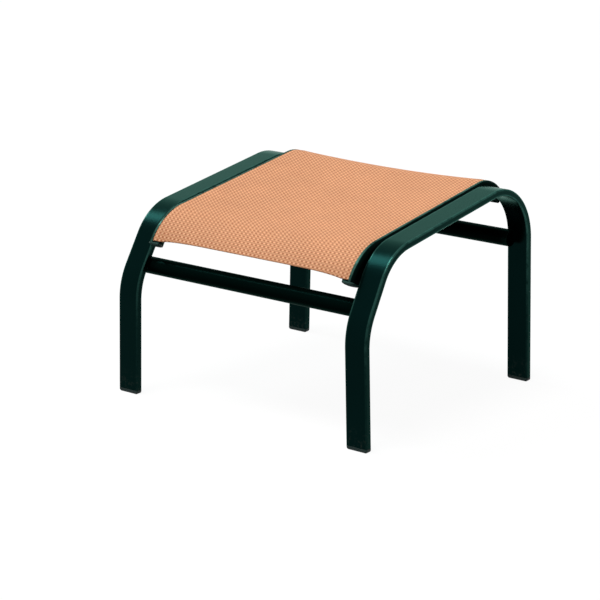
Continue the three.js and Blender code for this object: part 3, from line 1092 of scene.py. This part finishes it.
@dataclass
class Crossbars(Assembly):
    """The round bars behind the front legs and before the rear legs, with their welds."""

    radius: float = 0.016
    wall: float = 0.0016
    ease_share: float = 0.25     # of the wall
    overlap: float = 0.018       # how far a bar's end lies beside a leg
    front_up: float = 0.0124     # knee to front bar, along the shin
    rear_height: float = 0.2775  # floor to rear bar, along the rear leg
    sides: int = 72
    even_share: float = 0.94     # of the bar, where its rings are evenly set
    root: float = 0.0030         # touching line to a bead's root
    reach: float = 0.0105        # and to its toes
    crown: float = 0.0009
    bead_inset: float = 0.0012
    ripples: float = 7.0
    ripple_lag: float = 0.9      # how far ripples trail across a bead's face, in radians
    smooth_share: float = 0.55   # of the crown, before the ripples
    ripple_share: float = 0.6    # of the crown
    swell_power: int = 8
    bead_end_share: float = 0.25  # of a bead's size, at its ends

    def mark(self, end: End) -> float:
        """Where along the tube the bar at that end touches it."""
        front = self.tube.shin_start + self.front_up
        return front if end is End.FRONT else self.tube.line().length - self.rear_height

    def centre(self, end: End) -> tuple[float, float, float]:
        """y, z and heading at the centre of a bar."""
        out = -self.tube.thickness - FIT_GAP - self.radius
        return tuple(float(v) for v in self.tube.line().at(self.mark(end), out))

    def build(self) -> None:
        """Makes both bars and their eight weld beads."""
        for end in End:
            self.bar(end)
            for side in Side:
                for way, word in ((1, "above"), (-1, "below")):
                    self.bead(end, side, way if end is End.FRONT else -way, word)

    def bar(self, end: End) -> None:
        """A tube along X, out along the skin and back along the bore, with eased rims.

        Args:
            end: the end that it is at.
        """
        y, z, _ = self.centre(end)
        reach = float(self.stance.half_span(self.tube.width - self.overlap, z))
        ease = self.wall * self.ease_share
        inner = self.radius - self.wall
        even = reach * self.even_share
        profile = np.array([
            [-reach, self.radius - ease], [-reach + ease, self.radius],
            *([x, self.radius] for x in np.linspace(-even, even, 9)),
            [reach - ease, self.radius], [reach, self.radius - ease],
            [reach, inner + ease], [reach - ease, inner],
            [-reach + ease, inner], [-reach, inner + ease],
        ])
        angle = np.linspace(0, 2 * pi, self.sides, endpoint=False)
        x, radius = profile[:, :1], profile[:, 1:]
        ring = stacked(x, y + radius * np.cos(angle), z + radius * np.sin(angle))
        rims = (np.abs(x) > reach - 2 * ease) & (radius > inner + ease)
        # The bar takes the darker copy of the green paint: painted shade.
        skin(f"{end.value}_bar_tube", ring, self.finishes.dark, [f"{end.value}_crossbar"],
             wrap_rows=True, edge=np.where(rims, 1.0, 0.0))

    def bead(self, end: End, side: Side, way: int, word: str) -> None:
        """One bead: a wedge between the leg and the bar with a rippled, crowned face.

        The crown rises as sin(pi s) from toe to toe, and the ripples along the bead are the
        absolute value of a sine, so that each one ends in a sharp valley. Both fade at the
        bead's ends as the root of 1 - |2l - 1|^8, with l from 0 to 1 along it, and there the
        wedge shrinks toward its root.

        Args:
            end: the bar that it is on.
            side: the leg that it is on.
            way: 1 on the side of the bar toward the path's end, -1 on the other.
            word: where it is, for its name.
        """
        y, z, heading = self.centre(end)
        inward = np.array([np.cos(heading), -np.sin(heading)])
        forward = np.array([np.sin(heading), np.cos(heading)])
        run = np.linspace(self.root, self.reach, 7)
        leg_out = FIT_GAP / 2 - self.tube.thickness
        leg = stacked(*self.tube.line().at(self.mark(end) + way * run, leg_out)[:2])
        turn = way * np.arcsin(run / self.radius)[:, None]
        around = np.sin(turn) * forward - np.cos(turn) * inward
        bar = np.array([y, z]) + (self.radius - FIT_GAP / 2) * around
        share = np.linspace(0, 1, 11)[1:-1]
        length = np.linspace(0, 1, 90)[:, None]
        swell = (1 - np.abs(2 * length - 1) ** self.swell_power) ** 0.5
        ripple = np.abs(np.sin(pi * self.ripples * length + share * self.ripple_lag))
        bulge = np.sin(pi * share) * (self.smooth_share + self.ripple_share * ripple) * swell
        face = leg[-1] + (bar[-1] - leg[-1]) * share[:, None]
        face = face + way * self.crown * bulge[..., None] * forward
        sides = [np.broadcast_to(line, (len(length), *line.shape)) for line in (leg, bar[::-1])]
        wedge = np.concatenate([sides[0], face, sides[1]], axis=1)
        root = (leg[0] + bar[0]) / 2
        taper = self.bead_end_share + (1 - self.bead_end_share) * swell
        y, z = np.moveaxis(root + (wedge - root) * taper[..., None], -1, 0)
        first = self.tube.width - self.bead_inset
        last = self.tube.width - self.overlap + self.bead_inset
        skin(f"{end.value}_bead_{word}_{side.label}",
             self.stance.place(side, first + (last - first) * length, y, z), self.finishes.weld,
             [f"{end.value}_weld_{word}_{side.label}"], caps=True, sharp=60)


@dataclass
class SlingRails(Assembly):
    """The two extrusions that hold the sling, with the splines and the bolts in them."""

    rail: RailForm
    turn: float = 1.8            # degrees between rings
    step: float = 0.03
    cap_rim: float = 0.0016
    cap_dome: float = 0.0046
    cap_turn: float = 74.0       # degrees that the dome turns in
    cap_ease: float = 0.0003
    cap_sides: int = 120
    plug_depth: float = 0.012
    plug_taper: float = 0.0008
    plug_raise: float = 0.004
    plug_corner: float = 0.0008
    bolt_shares: tuple[tuple[str, float], ...] = (("front", 0.09), ("middle", 0.5), ("rear", 0.91))
    bolt_drop: float = 0.0092
    bolt_length: float = 0.012
    bolt_radius: float = 0.002
    bolt_sides: int = 48
    tip_radius: float = 0.0014
    tip_length: float = 0.0006
    head_radius: float = 0.0038
    head_height: float = 0.0024
    head_rim: float = 0.0003
    head_under_share: float = 0.97
    head_fall_share: float = 0.42
    head_fall_power: float = 2.2
    socket_rim: float = 0.0019
    socket_radius: float = 0.00125
    socket_depth: float = 0.0014
    drill_radius: float = 0.0004
    drill_depth: float = 0.0003

    def build(self, nodes: dict[str, bpy.types.Object]) -> None:
        """Makes the rails, caps and bolts, and dresses the splines and nuts, which stay.

        Args:
            nodes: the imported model's solids, by name.
        """
        path = self.rail.line(self.tube)
        section = self.rail.section(self.tube)
        inset, y, z = carried(path, path.marks(self.turn, self.step), section.points)
        for side in Side:
            # The rail takes a darker copy of the green paint, painted shade, with a pale painted
            # highlight along its crest.
            skin(f"rail_extrusion_{side.label}", self.stance.place(side, inset, y, z),
                 self.finishes.rail, [f"sling_rail_{side.label}"], caps=True, edge=section.edge,
                 sharp=30)
            for end in End:
                self.cap(path, end, side)
            for name, share in self.bolt_shares:
                self.bolt(path, side, name, share)
                keep_node(nodes[f"rivet_nut_{name}_{side.label}"], self.finishes.nut)
            keep_node(nodes[f"sling_spline_{side.label}"], self.finishes.spline)

    def cap(self, path: BentPath, end: End, side: Side) -> None:
        """A moulded cap: rings from the tip of its plug, out over its rim and round its dome.

        Plug and head are both outlines about one middle, each given by its radius at every
        angle. The head's radius falls with the cosine of the dome's turn.

        Args:
            path: the rail's top line.
            end: the end that it closes.
            side: the side that it is on.
        """
        rail, tube = self.rail, self.tube
        head = rail.outline(tube)
        middle = np.array([(head[:, 0].min() + head[:, 0].max()) / 2, -rail.depth / 2])
        left = tube.width + rail.gap + rail.web + FIT_GAP
        right = tube.width + rail.reach - rail.skirt - rail.skirt_tuck - FIT_GAP
        top = -rail.groove_depth - rail.groove_radius - rail.groove_wall - FIT_GAP
        low = self.plug_raise - rail.depth
        angle = np.linspace(0, 2 * pi, self.cap_sides, endpoint=False)

        def radii(outline: Array) -> Array:
            """Measures an outline from the middle.

            Args:
                outline: its corners.

            Returns:
                Its radius at each angle.
            """
            steps = np.linspace(0, 1, 12, endpoint=False)[:, None]
            away = np.concatenate([a + (b - a) * steps for a, b in zip(
                outline, np.roll(outline, -1, axis=0))]) - middle
            turn = np.arctan2(away[:, 1], away[:, 0]) % (2 * pi)
            order = np.argsort(turn)
            return np.interp(angle, turn[order], np.hypot(*away.T)[order], period=2 * pi)

        def plug(taper: float) -> Array:
            """The plug's radii, drawn in by a taper."""
            return radii(rounded_box(left + taper, right - taper, low + taper, top - taper,
                                     self.plug_corner).points)

        full = radii(head)
        turns = np.radians(np.linspace(0, self.cap_turn, 9))
        rings = [
            (-self.plug_depth, plug(self.plug_taper)),
            (self.plug_taper - self.plug_depth, plug(0.0)),
            (FIT_GAP, plug(0.0)),
            (FIT_GAP, full - self.cap_ease),
            (FIT_GAP + self.cap_ease, full),
            *((FIT_GAP + self.cap_rim + self.cap_dome * np.sin(t), full * np.cos(t))
              for t in turns),
        ]
        past = np.array([ring[0] for ring in rings])[:, None]
        radius = np.array([ring[1] for ring in rings])
        mark = -past if end is End.FRONT else path.length + past
        y, z, _ = path.at(mark, middle[1] + radius * np.sin(angle))
        inset = middle[0] + radius * np.cos(angle)
        skin(f"{end.value}_cap_{side.label}", self.stance.place(side, inset, y, z),
             self.finishes.cap, [f"{end.value}_rail_cap_{side.label}"], caps=True, sharp=40)

    def bolt(self, path: BentPath, side: Side, name: str, share: float) -> None:
        """A button head bolt as rings about its axis.

        A ring of the socket is a hexagon: its radius at an angle is the flat's distance over
        the cosine of the angle from the middle of that flat. The head's radius falls from
        its rim by its fall's share, with the fall's power of the height over the rim.

        Args:
            path: the rail's top line.
            side: the side that it is on.
            name: the word for its place.
            share: its place along the frame's straight top.
        """
        along = self.rail.front_bend.length + self.rail.lead_front + self.tube.top * share
        y, z, _ = path.at(along, -self.bolt_drop)
        seat = self.tube.width + self.rail.gap + self.rail.web + FIT_GAP
        tip, crest = seat - self.bolt_length, seat + self.head_height
        bottom = crest - self.socket_depth
        domed = ((seat + self.head_rim + (self.head_height - self.head_rim) * t,
                  self.head_radius * (1 - self.head_fall_share * t ** self.head_fall_power))
                 for t in np.linspace(0, 1, 7))
        turned = [
            (tip, self.tip_radius), (tip + self.tip_length, self.bolt_radius),
            (seat, self.bolt_radius), (seat, self.head_radius * self.head_under_share),
            *domed, (crest, self.socket_rim),
        ]
        hexed = [(crest, self.socket_radius), (bottom, self.socket_radius)]
        drilled = [(bottom - self.drill_depth, self.drill_radius)]
        profile = np.array(turned + hexed + drilled)[..., None]
        angle = np.linspace(0, 2 * pi, self.bolt_sides, endpoint=False)
        form = np.ones((len(profile), self.bolt_sides))
        form[len(turned):-1] = 1 / np.cos((angle + pi / 6) % (pi / 3) - pi / 6)
        radius = profile[:, 1] * form
        points = self.stance.place(
            side, profile[:, 0], y + radius * np.cos(angle), z + radius * np.sin(angle))
        skin(f"button_bolt_{name}_{side.label}", points, self.finishes.bolt,
             [f"rail_bolt_{name}_{side.label}"], caps=True, sharp=30)


@dataclass
class Sling(Assembly):
    """The woven sheet between the rails. A pocket down each side goes through the rail's
    slot and round the spline, and each end is turned under and sewn."""

    rail: RailForm
    thickness: float = 0.00045
    over: float = 0.00033        # rail top down to the middle of the upper layer
    under: float = 0.00079       # and to the middle of the return
    pocket: float = 0.00205      # radius round the spline
    neck: float = 0.00045        # middle of the slot to the middle of a layer in it
    fold: float = 0.0004         # radius of the return's fold beside the slot
    upper_fold_share: float = 1.4
    seam_reach: float = 0.0125   # slot to the pocket's seam
    spare: float = 0.003         # cloth past the seam, and slot to the upper layer's flat
    hem_short: float = 0.0026    # rail's end to the hem
    hem_bow: float = 0.0058      # how far a hem draws in at its middle
    hem_turn: float = 0.019      # flat part of what is turned under
    hem_fold: float = 0.0004     # radius of the hem's half round
    hem_seam: float = 0.015      # hem to its seam
    hem_share: float = 0.995     # of the cloth's width
    sag: float = 0.008
    rail_height: float = 0.33    # about the middle of the rails, for widths
    columns: int = 64
    turn: float = 2.2            # degrees between rows
    step: float = 0.012
    stitch: float = 0.0042
    stitch_share: float = 0.8    # of it that lies on the cloth
    thread: float = 0.00028
    sunk_share: float = 0.4      # of the thread, from the cloth's face up to its middle
    tip_share: float = 0.2       # of the thread's radius, at the tips of a stitch
    span: float = 0.22           # about what one share of the half span measures
    hem_row_share: float = 0.97  # of the cloth's width that has stitches along a hem
    row_start: float = 0.004     # hem to the first and last stitches of a pocket
    row_stop: float = 0.006
    cut_width: float = 0.506
    cut_length: float = 0.543

    def __post_init__(self) -> None:
        """Lays the path that the cloth follows, and its section from one return to the other."""
        self.path = self.rail.line(self.tube)
        self.nose = self.tube.width + self.rail.reach
        self.groove = self.tube.width + self.rail.groove
        self.first = self.hem_short
        self.last = self.path.length - self.hem_short
        line = self.pocket_line()
        share = np.linspace(1, -1, self.columns + 1)
        middle = stacked(self.nose, -self.over + 0 * share)
        self.section = np.concatenate([line, middle, line[::-1]])
        self.shares = np.concatenate([np.ones(len(line)), share, -np.ones(len(line))])
        flat = self.shares * self.stance.half_span(self.section[:, 0], self.rail_height)
        steps = np.hypot(np.diff(flat), np.diff(self.section[:, 1]))
        self.across = np.concatenate([[0.0], np.cumsum(steps)])
        self.across_at_nose = self.across[len(line)]

    def middling(self, mark: Array) -> Array:
        """The distance from the middle of the rail, as -1 at one hem and 1 at the other."""
        return (mark - self.path.length / 2) / ((self.last - self.first) / 2)

    def bow(self, share: Array) -> Array:
        """How far a hem draws in: 1 - share^6 times the full bow, so that it is nearly
        straight between its corners."""
        return self.hem_bow * (1 - share ** 6)

    def hem_edge(self, end: End) -> tuple[float, float]:
        """Where a hem's edge is along the rail, and which way the cloth lies from it."""
        return (self.first, 1.0) if end is End.FRONT else (self.last, -1.0)

    def surface(self, share: Array, inset: Array | float, mark: Array, out: Array | float,
                past: Array | float = 0.0) -> Array:
        """Points of the cloth.

        Across the middle the cloth hangs in a shallow parabola, which is 1 - share^2 times
        the full sag. The sag fades toward both hems with the sixth power of the distance
        from the middle. Toward the hems the rows draw in by the bow.

        Args:
            share: share of the half span, which is 1 or -1 at the rails.
            inset: the inset that the half span is measured to.
            mark: distance along the rail.
            out: height over the rail's top line.
            past: a further distance along the rail.

        Returns:
            Points, one for each set of values.
        """
        middle = self.middling(mark)
        sag = self.sag * (1 - share ** 2) * (1 - middle ** 6)
        y, z, _ = self.path.at(mark - middle * self.bow(share) + past, out - sag)
        return stacked(share * self.stance.half_span(inset, z), y, z)

    def pocket_line(self) -> Array:
        """One side of the cloth's section, from the free end of the return, round the spline
        and up to where the cloth lies flat.

        Returns:
            [inset, out] points.
        """
        centre, seam = self.groove, self.groove + self.seam_reach
        lean = np.degrees(np.arcsin(self.neck / self.pocket))
        low, high = self.fold, self.fold * self.upper_fold_share
        return np.concatenate([
            [[seam + self.spare, -self.under], [seam, -self.under],
             [centre + self.seam_reach / 2, -self.under]],
            arc(centre + self.neck + low, -self.under - low, low, 90, 180, 3),
            arc(centre, -self.rail.groove_depth, self.pocket, 90 - lean, -270 + lean, 24),
            arc(centre - self.neck + high, -self.over - high, high, 180, 90, 4),
            [[centre + self.spare, -self.over], [seam, -self.over]],
        ])

    def build(self) -> None:
        cloth = self.cloth()
        others = [self.hem(end) for end in End]
        others += [self.hem_stitches(end) for end in End]
        others += [self.side_stitches(side) for side in Side]

    def woven(self, name: str, grid: Array, uv: Array,
              nodes: Sequence[str] = ()) -> bpy.types.Object:
        """A piece of the cloth with its thickness, half to each side of its points.

        Args:
            name: the piece's name.
            grid: its points, as rows by columns by 3.
            uv: their places in the flat.
            nodes: the solids that it stands for.

        Returns:
            The piece.
        """
        piece = skin(name, grid, self.finishes.cloth, nodes, wrap_columns=False, uv=uv, sharp=70)
        wall = piece.modifiers.new("thickness", "SOLIDIFY")
        wall.thickness = self.thickness
        wall.offset = 0.0
        return piece

    def cloth(self) -> bpy.types.Object:
        """The main sheet, as columns from one return to the other by rows along the rails.

        Returns:
            The piece.
        """
        marks = self.path.marks(self.turn, self.step, self.first, self.last)[:, None]
        grid = self.surface(self.shares, self.section[:, 0], marks, self.section[:, 1])
        uv = stacked(self.across, marks - self.middling(marks) * self.bow(self.shares))
        return self.woven("sling_cloth", grid, uv, ["sling"])

    def hem(self, end: End) -> bpy.types.Object:
        """The cloth that is turned under at a hem: a half round, then a flat return.

        Args:
            end: the end that the hem is at.

        Returns:
            The piece.
        """
        edge, inward = self.hem_edge(end)
        turn = np.linspace(0, pi, 9)[:, None]
        run = np.linspace(0, self.hem_turn, 6)[1:, None]
        mark = edge + inward * np.concatenate([0 * turn, run])
        past = -inward * self.hem_fold * np.concatenate([np.sin(turn), 0 * run])
        drop = self.hem_fold * np.concatenate([1 - np.cos(turn), 2 + 0 * run])
        share = np.linspace(self.hem_share, -self.hem_share, self.columns + 1)
        grid = self.surface(share, self.nose, mark, -self.over - drop, past)
        length = np.concatenate([self.hem_fold * turn, self.hem_fold * pi + run])
        half = self.stance.half_span(self.nose, self.rail_height)
        uv = stacked(self.across_at_nose + (1 - share) * half,
                     edge + inward * (self.bow(share) - length))
        return self.woven(f"{end.value}_hem", grid, uv)

    def stitched(self, name: str, share: Array, inset: float, mark: Array) -> bpy.types.Object:
        """A row of stitches: each is a short tube with round ends, which dips at both ends.

        With d from 0 at a stitch's middle to 1 at its ends, its radius is the thread's times
        the root of 1 - d^4, and it dips by the thread's radius times d^3.

        Args:
            name: the piece's name.
            share: start and end share of each stitch, as stitches by 2.
            inset: the inset that the span is measured to.
            mark: start and end distance of each stitch, as stitches by 2.

        Returns:
            The piece.
        """
        t = np.linspace(0, 1, 7)
        angle = np.linspace(0, 2 * pi, 6, endpoint=False)
        from_middle = np.abs(2 * t - 1)
        roundness = np.maximum(np.sqrt(1 - from_middle ** 4), self.tip_share)
        radius = self.thread * roundness[:, None]
        out = self.thread * self.sunk_share + self.thickness / 2 - self.over
        height = out - (self.thread * from_middle ** 3)[:, None] + radius * np.sin(angle)
        sideways = radius * np.cos(angle)
        shares, marks = ((ends[:, :1] + np.diff(ends) * t)[..., None] for ends in (share, mark))
        if np.ptp(mark[0]) > 0:
            shares = shares + sideways / self.span
        else:
            marks = marks + sideways
        points = self.surface(shares, inset, marks, height + 0 * shares)
        return skin(name, points, self.finishes.thread, caps=True, sharp=60)

    def hem_stitches(self, end: End) -> bpy.types.Object:
        """Stitches along a hem, on top of the cloth.

        Args:
            end: the end that the hem is at.

        Returns:
            The piece.
        """
        edge, inward = self.hem_edge(end)
        width = 2 * self.stance.half_span(self.nose, self.rail_height) * self.hem_row_share
        start = np.linspace(self.hem_row_share, -self.hem_row_share, int(width / self.stitch),
                            endpoint=False)
        share = stacked(start, start + (start[1] - start[0]) * self.stitch_share)
        mark = np.full_like(share, edge + inward * self.hem_seam)
        return self.stitched(f"{end.value}_hem_stitches", share, self.nose, mark)

    def side_stitches(self, side: Side) -> bpy.types.Object:
        """Stitches along a side pocket.

        Args:
            side: the side that the pocket is on.

        Returns:
            The piece.
        """
        first, last = self.first + self.row_start, self.last - self.row_stop
        start = np.linspace(first, last, int((last - first) / self.stitch))
        mark = stacked(start, start + self.stitch * self.stitch_share)
        share = np.full_like(mark, float(side.value))
        return self.stitched(f"pocket_stitches_{side.label}", share,
                             self.groove + self.seam_reach, mark)


@dataclass
class Glides(Assembly):
    """The moulded feet, each with its plug inside the tube."""

    height: float = 0.007
    corner_across: float = 0.0045
    corner_deep: float = 0.002
    corner_drop: float = 0.005
    rim: float = 0.0002
    rim_in: float = 0.0001
    plug: float = 0.024
    ribs: int = 3
    rib: float = 0.0007
    rib_shares: tuple[float, float, float] = (0.62, 0.7, 0.8)   # root's end, crest's ends
    least_corner: float = 0.0005

    def build(self) -> None:
        """Makes the four feet."""
        path = self.tube.line()
        fronts = {End.FRONT: float(path.at(0.0)[0]),
                  End.REAR: float(path.at(path.length)[0]) - self.tube.thickness}
        for end, front in fronts.items():
            for side in Side:
                self.foot(end, side, front)

    def foot(self, end: End, side: Side, front: float) -> None:
        """Rings up a foot: its lower edge is a quarter of an ellipse, and its plug has ribs
        with sloping shoulders.

        Args:
            end: the end that it is at.
            side: the side that it is on.
            front: how far back the front of its leg is.
        """
        tube, corner = self.tube, self.tube.corner
        turns = np.linspace(0, pi / 2, 9)
        rings = [(self.corner_across * (1 - np.sin(t)), self.corner_deep * (1 - np.sin(t)),
                  self.corner_drop * (1 - np.cos(t))) for t in turns]
        rings += [(0.0, 0.0, self.height - self.rim), (self.rim_in, self.rim_in, self.height)]
        crest = tube.wall + FIT_GAP
        root = crest + self.rib
        pitch = self.plug / self.ribs
        rises = list(zip((root, root, crest, crest), (0.0, *self.rib_shares)))
        for rib in range(self.ribs):
            rings += [(inset, inset, self.height + pitch * (rib + up)) for inset, up in rises]
        rings.append((root, root, self.height + self.plug))
        loop = np.stack([
            rounded_box(across, tube.width - across, front + deep, front + tube.thickness - deep,
                        max(corner - deep, self.least_corner)).points
            for across, deep, _ in rings
        ])
        z = np.array([height for *_, height in rings])[:, None]
        skin(f"{end.value}_foot_{side.label}",
             self.stance.place(side, loop[..., 0], loop[..., 1], z), self.finishes.foot,
             [f"{end.value}_glide_{side.label}"], caps=True, sharp=35)


@dataclass(frozen=True)
class Lamp:
    """A far, broad light."""

    name: str
    toward: Place                # direction from the object to the light
    strength: float
    spread: float                # its width as seen from the object, in degrees
    colour: Colour

    def light(self) -> None:
        """Adds the light to the scene."""
        data = bpy.data.lights.new(self.name, "SUN")
        data.energy, data.angle, data.color = self.strength, radians(self.spread), self.colour
        lamp = bpy.data.objects.new(self.name, data)
        lamp.rotation_euler = Vector(self.toward).to_track_quat("Z", "Y").to_euler()
        bpy.context.scene.collection.objects.link(lamp)


@dataclass
class Studio:
    """Pale floor, soft daylight studio and the camera."""

    camera: Place = (2.418303, -3.182155, 1.299438)
    target: Place = (-0.062746, 0.0, 0.155292)
    lens: float = 134.442        # millimetres, as is the sensor
    sensor: float = 36.0
    clips: tuple[float, float] = (0.05, 200.0)   # nearest and farthest that it sees
    lamps: tuple[Lamp, ...] = (
        Lamp("overhead_softbox", (-0.10, -0.30, 1.0), 2.55, 26.0, (1.0, 0.99, 0.97)),
        Lamp("left_softbox", (-0.59, -0.11, 0.80), 1.3, 17.0, (0.85, 0.97, 1.0)),
    )
    floor_size: float = 60.0
    floor_colour: Colour = (0.06, 0.06, 0.06)
    floor_glow: Colour = (0.95, 0.95, 0.95)
    surround: Colour = (0.93, 0.97, 1.0)
    surround_light: float = 0.08

    def build(self) -> None:
        """Makes the camera, the lights, the world and the floor."""
        self.make_camera()
        for lamp in self.lamps:
            lamp.light()
        self.make_world()
        self.make_floor()
        bpy.context.scene.view_settings.view_transform = "Standard"

    def make_camera(self) -> None:
        """A camera at the photograph's place, level."""
        data = bpy.data.cameras.new("camera")
        data.sensor_width, data.lens = self.sensor, self.lens
        data.clip_start, data.clip_end = self.clips
        camera = bpy.data.objects.new("camera", data)
        camera.location = self.camera
        look = Vector(self.target) - Vector(self.camera)
        camera.rotation_euler = look.to_track_quat("-Z", "Y").to_euler()
        bpy.context.scene.collection.objects.link(camera)
        bpy.context.scene.camera = camera

    def make_world(self) -> None:
        """A dim surround that the camera sees as white."""
        world = bpy.data.worlds.new("studio")
        tree = Tree(world)
        dim = tree.wire("ShaderNodeBackground",
                        values={"Color": self.surround, "Strength": self.surround_light})
        white = tree.wire("ShaderNodeBackground",
                          values={"Color": (1.0, 1.0, 1.0), "Strength": 1.0})
        both = tree.wire("ShaderNodeMixShader", values={0: tree.seen(), 1: dim, 2: white})
        tree.node("ShaderNodeOutputWorld", values={"Surface": both})
        bpy.context.scene.world = world

    def make_floor(self) -> None:
        """A pale floor. To the camera, and in reflections, it glows up to white, and it
        keeps the object's shadow."""
        half = self.floor_size / 2
        corners = half * np.array([[-1, -1, 0], [1, -1, 0], [1, 1, 0], [-1, 1, 0]])
        floor = put_mesh("floor", corners, [(0, 1, 2, 3)])
        tree = Surface("pale_floor")
        glow = tree.blend(tree.seen(), (0.0, 0.0, 0.0), self.floor_glow)
        floor.data.materials.append(tree.finish(
            Base_Color=self.floor_colour, Roughness=0.9, Specular_IOR_Level=0.0,
            Emission_Color=glow, Emission_Strength=1.0))


def main() -> None:
    """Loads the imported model, builds the studio and each sub-assembly, and reports them."""
    logging.basicConfig(level=logging.INFO, format="%(message)s")
    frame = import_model()
    shared = (Stance(), FlatTube(), Finishes())
    rail = RailForm()
    Studio().build()
    SideFrames(*shared).build()
    Crossbars(*shared).build()
    SlingRails(*shared, rail).build(frame["nodes"])
    Glides(*shared).build()
    Sling(*shared, rail).build()


if __name__ == "__main__":
    main()
